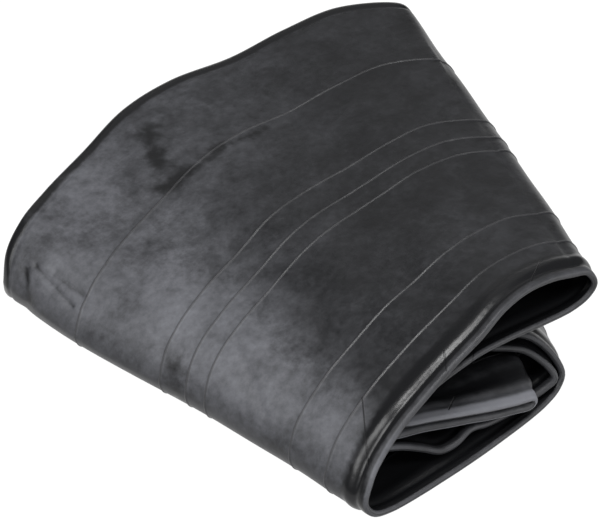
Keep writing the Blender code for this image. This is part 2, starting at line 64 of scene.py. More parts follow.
# Folded layers, 1 on top to 8 below. Places along the edges are shares of their length, and depths are
# shares of the pack's depth.
FRONT_LENGTH = 0.154
FRONT_RISE = 0.035
SET_BACK = 0.010
BACK_LENGTH = 0.264
DEPTH = 0.2645
# Front edge of each layer from left to right: place along it, share of the front rise above the flat stack,
# and how many set-backs it is drawn in
FRONT_EDGES = {
    1: [(0.039, -0.143, 0.10), (0.136, 0.249, 0.05), (0.253, 0.477, 0.10), (0.377, 0.706, 0.10),
        (0.494, 0.849, 0.15), (0.617, 0.977, 0.40), (0.727, 0.997, 0.50), (0.831, 0.934, 0.42),
        (0.916, 0.820, 0.28)],
    2: [(0.195, 0.330, 1.60), (0.260, 0.443, 0.80), (0.390, 0.586, 0.48), (0.519, 0.589, 0.50),
        (0.662, 0.514, 0.45), (0.792, 0.434, 0.33), (0.909, 0.406, 0.17)],
    3: [(0.200, 0.340, 1.60), (0.260, 0.425, 1.50), (0.340, 0.480, 1.80), (0.440, 0.500, 2.60),
        (0.530, 0.480, 3.40), (0.610, 0.420, 3.40), (0.675, 0.330, 2.40)],
    4: [(0.240, 0.400, 1.50), (0.300, 0.450, 1.50), (0.370, 0.475, 1.80), (0.440, 0.480, 2.40),
        (0.530, 0.450, 3.20), (0.604, 0.380, 3.20), (0.662, 0.290, 2.20)],
    5: [(0.240, 0.365, 1.10), (0.300, 0.360, 0.60), (0.370, 0.305, 0.20), (0.435, 0.240, -0.10),
        (0.494, 0.165, -0.30), (0.558, 0.090, -0.50), (0.604, 0.045, -0.65), (0.655, -0.005, -0.75)],
    6: [(0.200, 0.355, 1.30), (0.279, 0.360, 0.70), (0.364, 0.300, 0.20), (0.435, 0.230, -0.10),
        (0.494, 0.150, -0.30), (0.558, 0.080, -0.50), (0.604, 0.035, -0.65), (0.655, -0.020, -0.75)],
    7: [(0.175, 0.320, 1.50), (0.220, 0.280, 1.10), (0.273, 0.190, 0.60), (0.325, 0.077, 0.20),
        (0.377, 0.100, 0.0), (0.442, 0.175, 0.0), (0.519, 0.070, 0.0), (0.617, -0.010, 0.02),
        (0.688, -0.015, 0.04)],
    8: [(0.065, 0.0, -0.41), (0.299, 0.0, -0.65), (0.526, 0.0, -0.64), (0.753, 0.0, -0.37)],
}
LAYERS = len(FRONT_EDGES)
TOP_LAYER = 1
# Turns in the order of the path: upper or first layer, next layer, front tip as above, and back tip
TURNS = [
    (1, 8, (-0.032, -0.143, -0.18), -0.015),
    (8, 3, (0.857, -0.103, 0.06), 0.970),
    (3, 6, (0.156, 0.345, 1.70), 0.402),
    (6, 5, (0.674, -0.020, -0.78), 0.879),
    (5, 4, (0.221, 0.385, 1.40), 0.432),
    (4, 7, (0.808, -0.040, -0.20), 0.947),
    (7, 2, (0.118, 0.325, 1.90), 0.322),
    (2, 1, (0.997, 0.571, 0.01), 0.981),
]
# How far each layer's back edge stands above the flat stack, in layer gaps, so that tight turns have room
BACK_RISE = {1: 2.4, 2: 1.6, 3: 1.6, 4: 1.6, 5: 0.8, 6: 0.0, 7: 0.0, 8: 0.0}
# Back edge seen from above: place along it and depth
BACK_EDGE = [(-0.019, 0.877), (0.091, 0.932), (0.174, 0.949), (0.337, 0.983), (0.436, 1.000),
             (0.511, 0.998), (0.617, 0.972), (0.799, 0.936), (0.902, 0.909), (0.947, 0.879), (0.981, 0.845)]
# How far the solid's big left turn swells out, which sets the place of the frame's origin
SOLID_SWELL = 0.0020
# Swelling of the rubber on top of that: the left turn towards the back, with a hollow towards the front, as
# depth, share of the way back and width, and the top right turn in the middle
LEFT_TURN, RIGHT_TURN = (1, 8), (2, 1)
LEFT_SWELL = [(0.0070, 0.77, 0.24), (-0.0012, 0.30, 0.16)]
RIGHT_SWELL = 0.0010
# Puffed back edge of the top layer: how far each of its points from left to right moves, and the points of
# its right turn
PUFFED_EDGE = [(0, 0, 0.0025), (0, 0, 0.0020), (0, 0, 0.0030), (0, 0, 0.0054), (0, 0, 0.0048),
               (0, 0, 0.0038), (0, 0, 0.0066), (0.0010, -0.0010, 0.0078), (0.0020, -0.0030, 0.0055)]
PUFFED_TURN = [(0.0008, -0.0025, 0), (0.0015, -0.0050, 0.0005), (0.0020, -0.0040, 0.0030)]
UNMOVED = (0, 0, 0)
# A turn's points are its first shoulder, tip and second shoulder. Share of a swelling at each, and how far
# the right turn's points are on the pack's outside
TURN_POINTS = 3
HALF_SWOLLEN = (0.5, 1.0, 0.5)
RIGHT_OUTSIDE = [0.2, 0.6, 1.0]
# Where a turn's shoulder lies: share of the way along to the tip, and share of the height left above the tip
ROUND_SHOULDER = (math.sqrt(0.5), math.sqrt(0.5))
SLOPING_SHOULDER = (0.60, 0.55)

# Mesh steps along the belt, finer where the belt is the pack's outside, and across it
FINE_STEP = 0.0010
COARSE_STEP = 0.0022
LEAST_STEPS = 4
EDGE_STEPS = 7
FINE_ROW = 0.0009
ROW_STEP = 0.0032
FRONT_FINE = 0.0230
BACK_FINE = 0.0130
RIB_ROWS = (-3, -2, -1, -0.5, 0, 0.5, 1, 2, 3)
# Shares of the width between which the rows are closer, for the creases
CREASED_ROWS, CREASED_STEP = (0.79, 0.945), 0.0011
# Place of the lower skin in the belt's own coordinates, apart from the upper skin
LOWER_SKIN = 2.0

# Relief of both skins: groove and ridge of the front roll, rounded rim and its seam at the back, and ribs
GROOVE_PLACE, GROOVE_DEPTH, GROOVE_WIDTH = 0.0068, 0.00090, 0.0016
RIDGE_PLACE, RIDGE_HEIGHT, RIDGE_WIDTH = 0.0118, 0.00075, 0.0028
PRESSED_RIDGE = 0.45
BACK_ROLL = 0.0050
SEAM_PLACE, SEAM_DEPTH, SEAM_WIDTH = 0.0060, 0.00055, 0.0011
RIBS = (0.11, 0.21, 0.44, 0.49, 0.555, 0.775)
RIB_WIDTH = 0.00045
RIB_HEIGHT = 0.00042

# Swollen front of the flap between two inner layers, and its rise behind that, as height, distance from the
# front and width. The rise starts and is full at shares of the front.
FLAP_LAYERS = (6, 5)
FLAP_SWELL = (0.0022, 0.0080, 0.0055)
FLAP_RISE = (0.0065, 0.0240, 0.0130)
FLAP_START, FLAP_FULL = 0.40, 0.58
IN_FLAP = 0.5

# Soft dents of the outer skin: wave length along and across the belt, phase and depth
DENTS = [(0.075, 0.210, 0.4, 0.00024), (0.047, -0.090, 2.1, 0.00014), (0.300, 0.062, 1.2, 0.00020),
         (0.031, 0.055, 4.0, 0.00006)]
DENT_MARGIN = 0.025
# Creases of the outer skin: two ends as they lie in the view, to the right and up, then depth and width
CREASES = [((-0.0623, 0.0809), (-0.0493, 0.0488), 0.00065, 0.0016),
           ((-0.1577, 0.1172), (-0.1405, 0.0985), 0.00120, 0.0013),
           ((-0.1495, 0.1130), (-0.1358, 0.1037), 0.00120, 0.0034),
           ((-0.1625, 0.1160), (-0.1612, 0.1010), 0.00085, 0.0030),
           ((-0.1590, 0.1072), (-0.1535, 0.1048), -0.00060, 0.0014),
           ((-0.1232, 0.1158), (-0.1088, 0.1121), 0.00080, 0.0040)]

# Marks with ends in the view like the creases, and a width: thin pressed lines, darkened as painted shade, and
# darker places, where the talc is rubbed off in the first four and painted shade lies along creases in the last
# three
THIN_LINES = [((-0.0046, 0.0563), (-0.0019, 0.0251), 0.0004), ((0.0793, 0.1204), (0.0744, 0.1107), 0.0004),
              ((0.0335, 0.0786), (0.0344, 0.0691), 0.0004), ((0.0476, 0.0799), (0.0465, 0.0711), 0.0004),
              ((0.0386, 0.0562), (0.0358, 0.0507), 0.0004)]
RUBBED_AND_CREASE_SHADE = [((-0.1060, 0.1810), (-0.1010, 0.1640), 0.0075), ((-0.0985, 0.1540), (-0.0698, 0.1735), 0.0052),
          ((-0.0656, 0.1765), (-0.0500, 0.1830), 0.0036), ((-0.0963, 0.0777), (-0.0893, 0.0577), 0.0090),
          ((-0.1577, 0.1172), (-0.1405, 0.0985), 0.0019), ((-0.1495, 0.1130), (-0.1358, 0.1037), 0.0026),
          ((-0.1625, 0.1160), (-0.1612, 0.1010), 0.0026)]

# Talc bloom of the rubber, mixed with painted sheen, highlights and shade. Each fade is a low and a high
# measure, and the values there.
# Paler towards the left of the view: talc, and a painted sheen of the light from the left
SIDE_FADE, SIDE_TALC_AND_SHEEN = (-0.110, 0.010, 1.0, 0.0), 0.20
# A painted highlight on the shoulder of the big left turn: which way it lies off the turn's lower outline in
# the view, how far and how wide, how bright it is, and how it fades across the belt towards the back
SHOULDER_SIDE = (0.70, 0.71)
SHOULDER_PLACE, SHOULDER_WIDTH, SHOULDER_HIGHLIGHT_STRENGTH = 0.012, 0.042, 0.50
BACK_FADE = (0.10, 0.85, 1.0, 0.35)
# Less of it near the floor: painted shade of the underside
FLOOR_FADE = (0.003, 0.030, 0.15, 1.0)
# Noise of the rubber: scale, detail, roughness and distortion
CLOUD_NOISE = (24.0, 5.0, 0.55, 0.0)
PATCH_NOISE = (60.0, 4.0, 0.60, 0.4)
SPECK_NOISE = (260.0, 3.0, 0.65, 0.0)
FINE_NOISE = (900.0, 3.0, 0.60, 0.0)
# Unevenness: its start, shares of cloud, patch and speck noise, and how it grows with the talc and painted
# light
UNEVEN_START = -0.90
UNEVEN_SHARES = (0.60, 0.68, 0.52)
UNEVEN_FADE = (0.0, 0.40, 0.5, 1.0)
# Rubbed places and painted crease shade: how ragged they are and where they are full, in widths, and how much
# of the talc and painted light they take off
RAGGED, MARK_FULL, MARK_DARKENING = 1.2, -0.8, 0.44
# Strips across the belt darkened as painted shade: back rim, whose mask also covers the whole lower skin, and
# front roll, and how much they darken
RIM_FADE, ROLL_FADE, STRIP_SHADE = (0.974, 0.984, 0.0, 1.0), (0.045, 0.075, 1.0, 0.0), -0.55
# Painted highlights on the flap, on front edges and on the bead in front of the groove, less on the bead under
# the painted shoulder highlight
FLAP_BLUR, FLAP_FADE, FLAP_HIGHLIGHT = 0.004, (0.020, 0.065, 1.0, 0.0), 0.78
EDGE_FADE, EDGE_HIGHLIGHT = (0.004, 0.010, 1.0, 0.0), 0.75
BEAD_FADE, BEAD_SHEEN, BEAD_UNDER_SHOULDER = (0.012, 0.022, 1.0, 0.0), 0.66, -1.2
# Colours without and with full talc and painted light, and what that measure is at each, then roughness by it
BARE_COLOUR, PALE_TALC_AND_SHEEN_COLOUR = (0.0058, 0.0060, 0.0068), (0.130, 0.133, 0.148)
TALC_AND_LIGHT_RANGE = (-0.15, 1.05)
ROUGH_FADE = (-0.3, 0.5, 0.30, 0.58)
SPECULAR = 0.34
# Ribs across the belt, and thin lines with the share of their width that is full
RIB_COLOUR, RIB_FADE = (0.034, 0.034, 0.036), (0.0012, 0.0032, 0.7, 0.0)
# Thin lines are darker: painted shade in the pressed lines, besides their bump
LINE_COLOUR, LINE_CORE, LINE_STRENGTH = (0.006, 0.006, 0.007), 0.4, 0.85
# Bumps of the rubber: strength and depth
PATCH_BUMP, SPECK_BUMP, FINE_BUMP, LINE_BUMP = (0.16, 0.002), (0.12, 0.0006), (0.10, 0.0002), (0.9, 0.0006)

# Valve, with the sizes of its solids
AROUND = 48
SHARP = math.radians(38)
WELD = 1e-7
SHANK_LENGTH = 0.022
SHANK_BORE = 0.0035
ANCHOR_LENGTH = 0.0022
ANCHOR_BORE = 0.0046
AIR_RADIUS = 0.0019
SLEEVE_LENGTH = 0.026
BEND_RADIUS = 0.0095
FOOT_HEIGHT = 0.0035
# Outline of the moulded valve: distance along its bent middle line from the foot's underside, and radius
FOOT_OUTLINE = [(0.0, 0.0136), (0.0003, 0.0140), (0.0011, 0.0139), (0.0017, 0.0132), (0.0024, 0.0112),
                (0.0032, 0.0097), (0.0044, 0.0087), (0.0065, 0.0081)]
NECK_START, NECK_STEP = 0.008, 0.0015
SLEEVE_RADIUS, SLEEVE_TIP_RADIUS = 0.0080, 0.0062
SLEEVE_TAPER_START = 0.008
TIP_ROUNDING = 0.0008
TIP_STEPS = 5
HOLE_RADIUS = 0.0030
# Patch: share of the way out from its hole, and share of its thickness
PATCH_OUTLINE = [(0.0, 0.0), (1.0, 0.0), (1.0, 0.22), (0.975, 0.42), (0.93, 0.66), (0.87, 0.88), (0.80, 1.0),
                 (0.0, 1.0)]
COLLAR_RADIUS, COLLAR_LENGTH, CLEARANCE = 0.0046, 0.0010, 0.0002
THREAD_RADIUS, THREAD_DEPTH, THREAD_PITCH = 0.003875, 0.00045, 0.000794
THREAD_STEPS = 8
CORE_RADIUS, SEAT_TOP, SEAT_LENGTH = 0.00265, 0.005228, 0.0018
CAP_BORE, CAP_ROOF = 0.004055, 0.0017
CAP_ROUNDING = 0.0009
SKIRT_ROUNDING, MOUTH_ROUNDING = CAP_ROUNDING / 3, CAP_ROUNDING / 4
# Flutes of the cap: number, mesh steps each, depth, and the share of it where the roof and the skirt begin
CAP_FLUTES, FLUTE_STEPS, FLUTE_DEPTH = 16, 8, 0.00032
FLUTE_AT_ROOF, FLUTE_AT_SKIRT = 0.5, 0.6
ROOF_INNER = 0.5
SPRING_WIRE, SPRING_TURNS, SPRING_STEPS, SPRING_SIDES = 0.00013, 8, 24, 8

# Surfaces of the valve's pieces: how much coarser the clouds are than the grain, their range, factor and
# offset of their colour, least and most roughness as factors, strength and depth of the grain, and metal
METAL_SURFACE = (6, (0.35, 0.7), (0.6, 0.0), (0.8, 1.3), (0.1, 0.00005), 1.0)
PLAIN_SURFACE = (12, (0.4, 0.75), (1.8, 0.01), (0.9, 1.2), (0.12, 0.0001), 0.0)
GRAIN_DETAIL, GRAIN_RANGE = 3.0, (0.3, 0.7)
# Materials of the valve's pieces: colour, roughness, scale of the grain, surface, and solids that have it
VALVE_MATERIALS = {
    "turned_brass": ((0.70, 0.50, 0.22), 0.30, 2500.0, METAL_SURFACE,
                     ("stem_insert", "core_plug", "core_barrel", "core_cup")),
    "bright_steel": ((0.60, 0.60, 0.60), 0.25, 2500.0, METAL_SURFACE, ("core_pin", "core_spring")),
    "valve_rubber": ((0.022, 0.023, 0.025), 0.55, 900.0, PLAIN_SURFACE, ("valve_patch", "valve_body")),
    "seal_rubber": ((0.016, 0.016, 0.018), 0.60, 1500.0, PLAIN_SURFACE, ("core_seal", "cap_seal")),
    "gasket_red": ((0.40, 0.045, 0.035), 0.50, 1500.0, PLAIN_SURFACE, ("core_gasket",)),
    "cap_plastic": ((0.013, 0.013, 0.014), 0.38, 1800.0, PLAIN_SURFACE, ("cap_shell",)),
}

# Camera, from the photograph's viewing angle and framing
AZIMUTH = math.radians(-46.7)
ELEVATION = math.radians(38.6)
VIEW_WIDTH = 0.279
VIEW_CENTRE = (-0.0335, 0.1204)
CAMERA_DISTANCE = 6.0
CLIP_END = 100.0
SENSOR = 36.0

# Floor, which is the whole background: grey paint, mixed with white for rays that show it
FLOOR_SIZE, FLOOR_LEVEL = 180.0, -0.0004
FLOOR_PAINT, FLOOR_WHITE, FLOOR_SHOWN = 0.45, 1.18, 0.85
WORLD_LIGHT = 0.12
# Lamps: place, size and power
LAMPS = {
    "key": ((-1.2, 0.1, 1.45), 1.0, 26.0),
    "overhead": ((0.05, -0.1, 1.5), 0.5, 14.0),
    "front": ((0.0, -0.9, 1.25), 0.5, 6.0),
    "back": ((1.0, 0.95, 1.1), 1.2, 1.5),
    "side": ((1.0, -1.3, 0.35), 0.8, 9.0),
    "fill": ((-0.5, -1.6, 0.45), 0.8, 7.0),
}


def view_axes():
    """Right, towards the camera, and up in the view."""
    right = Vector((math.cos(AZIMUTH), math.sin(AZIMUTH), 0))
    toward = Vector((math.cos(ELEVATION) * math.sin(AZIMUTH), -math.cos(ELEVATION) * math.cos(AZIMUTH),
                     math.sin(ELEVATION)))
    return right, toward, toward.cross(right)


def middle_share(along):
    """Nothing at both ends of a length and one in its middle."""
    return 4 * along * (1 - along)


def bell(distance, width):
    return np.exp(-(distance / width) ** 2)


def rounding(distance, run):
    """From nothing at an edge to one at the end of its rounded run."""
    return np.sqrt(1 - (1 - np.clip(distance / run, 0, 1)) ** 2)


def mean_of(table, layers):
    return sum(np.array(table[layer]) for layer in layers) / len(layers)


def stack_height(layers):
    heights = [BELT / 2 - REST_CUT + (LAYERS - layer) * PITCH for layer in layers]
    return sum(heights) / len(heights)


def back_height(layers):
    return stack_height(layers) + LAYER_GAP * float(mean_of(BACK_RISE, layers))


def front_point(layers, along, rise, set_back):
    return np.array([along * FRONT_LENGTH, set_back * SET_BACK, stack_height(layers) + rise * FRONT_RISE])


def back_point(layers, along):
    return np.array([along * BACK_LENGTH, DEPTH * np.interp(along, *zip(*BACK_EDGE)), back_height(layers)])


def back_ends(layer):
    """Where a layer's flat run starts and ends on the back edge, next to its two turns."""
    ends = []
    for first, second, _, tip in TURNS:
        if layer in (first, second):
            half_turn = abs(back_height([first]) - back_height([second])) / 2
            ends.append((tip, half_turn / BACK_LENGTH))
    (left_tip, left_reach), (right_tip, right_reach) = sorted(ends)
    return left_tip + left_reach, right_tip - right_reach


def layer_points(layer):
    """Front and back points of a layer's run, from left to right."""
    edge = FRONT_EDGES[layer]
    start, end = back_ends(layer)
    first, last = edge[0][0], edge[-1][0]
    points = []
    for along, rise, set_back in edge:
        share = (along - first) / (last - first)
        front = front_point([layer], along, rise, set_back)
        points.append((front, back_point([layer], start + share * (end - start))))
    return points


def turn_points(turn, before, after):
    """Shoulder, tip and shoulder of a turn between two runs, close to half an ellipse."""
    first, second, front_tip, back_tip = turn
    tip = (front_point([first, second], *front_tip), back_point([first, second], back_tip))
    slope = SLOPING_SHOULDER if (first, second) == LEFT_TURN else ROUND_SHOULDER

    def shoulder(end, front_shares):
        points = []
        for edge_end, edge_tip, (way, height) in zip(end, tip, (front_shares, ROUND_SHOULDER)):
            points.append(np.array([edge_end[0] + way * (edge_tip[0] - edge_end[0]),
                                    (edge_end[1] + edge_tip[1]) / 2,
                                    edge_tip[2] + height * (edge_end[2] - edge_tip[2])]))
        return tuple(points)

    return [shoulder(before, slope), tip, shoulder(after, ROUND_SHOULDER)]


def smooth_loop(points, steps):
    """A closed centripetal spline through the points, with its own number of steps after each point."""
    count = len(points)
    result = []
    for i in range(count):
        p0, p1, p2, p3 = (points[(i + k) % count] for k in (-1, 0, 1, 2))
        t1 = np.linalg.norm(p1 - p0) ** 0.5
        t2 = t1 + np.linalg.norm(p2 - p1) ** 0.5
        t3 = t2 + np.linalg.norm(p3 - p2) ** 0.5
        t = (t1 + (t2 - t1) * np.arange(steps[i]) / steps[i])[:, None]
        a1 = p0 + (p1 - p0) * t / t1
        a2 = p1 + (p2 - p1) * (t - t1) / (t2 - t1)
        a3 = p2 + (p3 - p2) * (t - t2) / (t3 - t2)
        b1 = a1 + (a2 - a1) * t / t2
        b2 = a2 + (a3 - a2) * (t - t1) / (t3 - t1)
        result.append(b1 + (b2 - b1) * (t - t1) / (t2 - t1))
    return np.vstack(result)


def fold_path():
    """The closed strand's front edge, the solid's back edge and the puffed one, then for each point how far it
    is in the left turn, in the right turn, on the outside and in the flap."""
    runs = []
    for i, turn in enumerate(TURNS):
        run = layer_points(turn[0])
        leftward = i % 2 == 0
        runs.append(run[::-1] if leftward else run)
    points, puffed, left, right, outside, flap = [], [], [], [], [], []
    for i, turn in enumerate(TURNS):
        run = runs[i]
        layers = turn[:2]
        points += run + turn_points(turn, run[-1], runs[(i + 1) % len(TURNS)][0])
        top = float(turn[0] == TOP_LAYER)
        puffed += PUFFED_EDGE[::-1] if top else [UNMOVED] * len(run)
        puffed += PUFFED_TURN if layers == RIGHT_TURN else [UNMOVED] * TURN_POINTS
        left += [0.0] * len(run) + [swollen * (layers == LEFT_TURN) for swollen in HALF_SWOLLEN]
        right += [0.0] * len(run) + [swollen * (layers == RIGHT_TURN) for swollen in HALF_SWOLLEN]
        outside += [top] * len(run) + (RIGHT_OUTSIDE if layers == RIGHT_TURN else [top] * TURN_POINTS)
        flap += [float(turn[0] in FLAP_LAYERS)] * len(run) + [float(layers == FLAP_LAYERS)] * TURN_POINTS
    front, back = (np.array([pair[side] for pair in points]) for side in (0, 1))
    chord = (np.linalg.norm(np.roll(front, -1, 0) - front, axis=1)
             + np.linalg.norm(np.roll(back, -1, 0) - back, axis=1)) / 2
    step = np.where(np.array(outside) > 0, FINE_STEP, COARSE_STEP)
    steps = np.maximum(LEAST_STEPS, np.ceil(chord / step)).astype(int)
    places = np.concatenate([[0], np.cumsum(steps)])
    spread = [np.interp(np.arange(places[-1]), places, values + values[:1])
              for values in (left, right, outside, flap)]
    solid_back = smooth_loop(back, steps)
    return smooth_loop(front, steps), solid_back, smooth_loop(back + np.array(puffed), steps), *spread


def belt_rows(width):
    """Share of the width at each row across the belt, for each strand point."""
    arc = [EDGE_RADIUS * (1 - math.cos(math.pi / 2 * k / EDGE_STEPS)) for k in range(EDGE_STEPS + 1)]
    near = arc + list(np.arange(EDGE_RADIUS + FINE_ROW, FRONT_FINE, FINE_ROW))
    far = arc + list(np.arange(EDGE_RADIUS + FINE_ROW, BACK_FINE, FINE_ROW))
    mean_width = float(width.mean())
    start = (FRONT_FINE + ROW_STEP / 2) / width.min()
    end = 1 - (BACK_FINE + ROW_STEP / 2) / width.min()
    shares = set(np.linspace(start, end, int((end - start) * mean_width / ROW_STEP)))
    first, last = CREASED_ROWS
    shares = {share for share in shares if not first < share < last}
    shares.update(np.linspace(first, last, int((last - first) * mean_width / CREASED_STEP)))
    for rib in RIBS:
        clear = (max(RIB_ROWS) * RIB_WIDTH + FINE_ROW) / mean_width
        shares = {share for share in shares if abs(share - rib) > clear}
        shares.update(rib + RIB_WIDTH * k / mean_width for k in RIB_ROWS)
    rows = [d / width for d in near]
    rows += [np.full(len(width), share) for share in sorted(shares)]
    rows += [1 - d / width for d in reversed(far)]
    return np.array(rows).T


def moulded_relief(share, distance_front, distance_back, outside):
    """Ridge, groove, seam and ribs of both skins."""
    ridge = RIDGE_HEIGHT * (PRESSED_RIDGE + (1 - PRESSED_RIDGE) * outside[:, None])
    relief = ridge * bell(distance_front - RIDGE_PLACE, RIDGE_WIDTH)
    relief -= GROOVE_DEPTH * bell(distance_front - GROOVE_PLACE, GROOVE_WIDTH)
    relief -= SEAM_DEPTH * bell(distance_back - SEAM_PLACE, SEAM_WIDTH)
    for rib in RIBS:
        relief += RIB_HEIGHT * bell((share - rib) * (distance_front + distance_back), RIB_WIDTH)
    return relief


def dented_relief(along, distance_front, distance_back, seen):
    """Soft waves that fade towards the edges, and pressed creases."""
    relief = np.zeros_like(distance_front)
    for along_length, across_length, phase, depth in DENTS:
        turns = along[:, None] / along_length + distance_front / across_length
        relief += depth * np.sin(2 * math.pi * turns + phase)
    relief *= np.clip(np.minimum(distance_front, distance_back) / DENT_MARGIN, 0, 1)
    for start, end, depth, width in CREASES:
        way = np.subtract(end, start)
        reach = np.clip((seen - start) @ way / (way @ way), 0, 1)
        distance = np.linalg.norm(seen - start - reach[:, :, None] * way, axis=2)
        relief -= depth * bell(distance, width)
    return relief


def swell(grid, share, width, front, left, right_turn, flap):
    """Moves the belt's middle surface out at the swollen turns and up at the flap."""
    grid[:, :, 0] += RIGHT_SWELL * right_turn[:, None] * middle_share(share)
    for depth, middle, reach in LEFT_SWELL:
        grid[:, :, 0] -= depth * left[:, None] * bell(share - middle, reach)
    rising = np.clip((front[:, 0] / FRONT_LENGTH - FLAP_START) / (FLAP_FULL - FLAP_START), 0, 1)
    for (height, place, reach), weight in ((FLAP_SWELL, flap), (FLAP_RISE, flap * rising)):
        grid[:, :, 2] += height * weight[:, None] * bell(share * width[:, None] - place, reach)


def surface_normals(grid):
    along = np.roll(grid, -1, 0) - np.roll(grid, 1, 0)
    across = np.gradient(grid, axis=1)
    normal = np.cross(across, along)
    return normal / np.linalg.norm(normal, axis=2)[:, :, None]


def wrapped_faces(count, around):
    """Four-sided faces of a grid of points that closes on itself both ways."""
    index = np.arange(count * around).reshape(count, around)
    following = np.roll(index, -1, 0)
    faces = np.stack([index, np.roll(index, -1, 1), np.roll(following, -1, 1), following], axis=2)
    return faces.reshape(-1, 4).tolist()


def lay_out_belt(mesh, along, total, share):
    """Belt coordinates of both skins: length along the strand, and share of the width."""
    mirrored = np.concatenate([share, share[:, -2:0:-1] + LOWER_SKIN], axis=1)
    around, across = mirrored.shape
    belt_along = np.broadcast_to(along[:, None], (around, across))
    place = np.stack([belt_along, mirrored], axis=2).reshape(-1, 2)
    loops = np.empty(len(mesh.loops), dtype=int)
    mesh.loops.foreach_get("vertex_index", loops)
    uv = place[loops]
    last_strip = np.repeat(np.arange(len(mesh.polygons)) // across == around - 1, 4)
    uv[last_strip & (uv[:, 0] < total / 2), 0] += total
    mesh.uv_layers.new(name="belt").data.foreach_set("uv", uv.ravel())


def make_tube():
    """The folded tube in place of its solid. Gives the shift from the fold's own origin to the frame's."""
    front, solid_back, back, left, right_turn, outside, flap = fold_path()
    low = np.minimum(front.min(0), solid_back.min(0)) - np.array([SOLID_SWELL, 0, 0])
    high = np.maximum(front.max(0), solid_back.max(0))
    shift = (low + high) / 2 * np.array([1, 1, 0])
    width = np.linalg.norm(back - front, axis=1)
    share = belt_rows(width)
    grid = front[:, None] + share[:, :, None] * (back - front)[:, None]
    swell(grid, share, width, front, left, right_turn, flap)
    right, _, up = view_axes()
    seen = np.stack([grid @ np.array(right), grid @ np.array(up)], axis=2)
    grid -= shift
    middle = grid[:, share.shape[1] // 2]
    along = np.concatenate([[0], np.cumsum(np.linalg.norm(np.diff(middle, axis=0), axis=1))])
    total = along[-1] + np.linalg.norm(middle[0] - middle[-1])
    normal = surface_normals(grid)
    distance_front = share * width[:, None]
    distance_back = (1 - share) * width[:, None]
    edges = rounding(distance_front, EDGE_RADIUS) * rounding(distance_back, BACK_ROLL)
    half = BELT / 2 + moulded_relief(share, distance_front, distance_back, outside)
    dents = outside[:, None] * dented_relief(along, distance_front, distance_back, seen)
    upper = grid + normal * (edges * (half + dents))[:, :, None]
    lower = grid - normal * (edges * half)[:, :, None]
    skin = np.concatenate([upper, lower[:, -2:0:-1]], axis=1)
    skin[:, :, 2] = np.maximum(skin[:, :, 2], 0.0)
    mesh = bpy.data.meshes.new("folded_tube")
    mesh.from_pydata(skin.reshape(-1, 3).tolist(), [], wrapped_faces(*skin.shape[:2]))
    mesh.shade_smooth()
    lay_out_belt(mesh, along, total, share)
    tube = bpy.data.objects.new("folded_tube", mesh)
    bpy.context.scene.collection.objects.link(tube)
    in_flap = along[flap > IN_FLAP]
    mesh.materials.append(butyl_material(Vector(shift), in_flap.min(), in_flap.max()))
    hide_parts("tube")
    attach(tube, "pack")
    return shift


class Nodes:
    """Short ways to add and join the nodes of one material."""

    def __init__(self, name):
        self.material = bpy.data.materials.new(name)
        self.material.use_nodes = True
        self.tree = self.material.node_tree
        self.shader = self.tree.nodes["Principled BSDF"]

    def add(self, kind, **values):
        node = self.tree.nodes.new(kind)
        for key, value in values.items():
            setattr(node, key, value)
        return node

    def join(self, source, target):
        self.tree.links.new(source, target)

    def value(self, socket, source):
        if isinstance(source, (int, float)):
            socket.default_value = source
        else:
            self.join(source, socket)

    def maths(self, operation, first, second=0.0, third=0.0):
        node = self.add("ShaderNodeMath", operation=operation)
        for socket, source in zip(node.inputs, (first, second, third)):
            self.value(socket, source)
        return node.outputs[0]

    def dot(self, vector, direction, offset=0.0):
        node = self.add("ShaderNodeVectorMath", operation="DOT_PRODUCT")
        self.join(vector, node.inputs[0])
        node.inputs[1].default_value = direction
        return self.maths("ADD", node.outputs["Value"], offset)

    def distance_to(self, place, shift, start, end):
        """Distance in the view from a straight mark between two places."""
        right, toward, up = view_axes()
        first = right * start[0] + up * start[1]
        way = right * end[0] + up * end[1] - first
        length = way.length
        way.normalize()
        side = toward.cross(way)
        along = self.dot(place, way, (shift - first).dot(way))
        across = self.dot(place, side, (shift - first).dot(side))
        held = self.maths("MINIMUM", self.maths("MAXIMUM", along, 0.0), length)
        beyond = self.maths("SUBTRACT", along, held)
        square = self.maths("MULTIPLY_ADD", beyond, beyond, self.maths("MULTIPLY", across, across))
        return self.maths("SQRT", square)

    def noise(self, vector, scale, detail=4.0, roughness=0.55, distortion=0.0):
        node = self.add("ShaderNodeTexNoise")
        self.join(vector, node.inputs["Vector"])
        for key, number in (("Scale", scale), ("Detail", detail), ("Roughness", roughness),
                            ("Distortion", distortion)):
            node.inputs[key].default_value = number
        return node.outputs["Fac"]

    def between(self, source, low, high, low_value=0.0, high_value=1.0):
        node = self.add("ShaderNodeMapRange", interpolation_type="SMOOTHSTEP")
        self.value(node.inputs["Value"], source)
        for key, number in (("From Min", low), ("From Max", high),
                            ("To Min", low_value), ("To Max", high_value)):
            node.inputs[key].default_value = number
        return node.outputs["Result"]

    def mix(self, factor, first, second):
        node = self.add("ShaderNodeMix", data_type="RGBA")
        self.value(node.inputs["Factor"], factor)
        for socket, source in ((node.inputs["A"], first), (node.inputs["B"], second)):
            if isinstance(source, tuple):
                socket.default_value = (*source, 1.0)
            else:
                self.join(source, socket)
        return node.outputs["Result"]

    def bump(self, height, strength, distance, normal=None):
        node = self.add("ShaderNodeBump")
        node.inputs["Strength"].default_value = strength
        node.inputs["Distance"].default_value = distance
        self.join(height, node.inputs["Height"])
        if normal:
            self.join(normal, node.inputs["Normal"])
        return node.outputs["Normal"]


